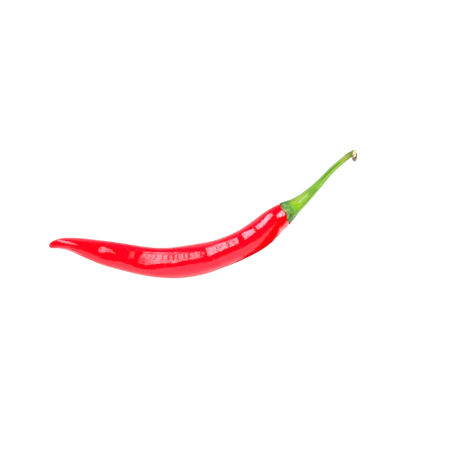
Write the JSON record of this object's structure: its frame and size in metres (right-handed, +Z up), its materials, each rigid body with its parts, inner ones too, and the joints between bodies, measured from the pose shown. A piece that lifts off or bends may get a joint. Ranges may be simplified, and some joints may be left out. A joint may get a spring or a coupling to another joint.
{
  "type": "chilli pepper",
  "caption": "Fresh red chilli pepper, long and curved, with its green calyx and stem, lying on its side.",
  "frame": {"origin": "on the surface that the chilli lies on, under the middle of its box", "axes": "+X from the pod's tip towards the stem, +Y towards the hollow side of the curve, +Z up"},
  "size_m": [0.148, 0.0616, 0.0154],
  "materials": {
    "pod": "glossy waxy red fruit skin",
    "calyx": "green plant skin with a soft sheen",
    "stem": "ribbed green plant skin with a soft sheen",
    "stem_end": "pale torn fibres, matt",
    "dry_skin": "dry shrivelled plant skin, matt"
  },
  "bodies": {
    "root": {"pod": "pod", "calyx": "calyx", "stem": "stem", "stem_end": "stem_end", "dry_skin": "dry_skin"}
  },
  "joints": []
}
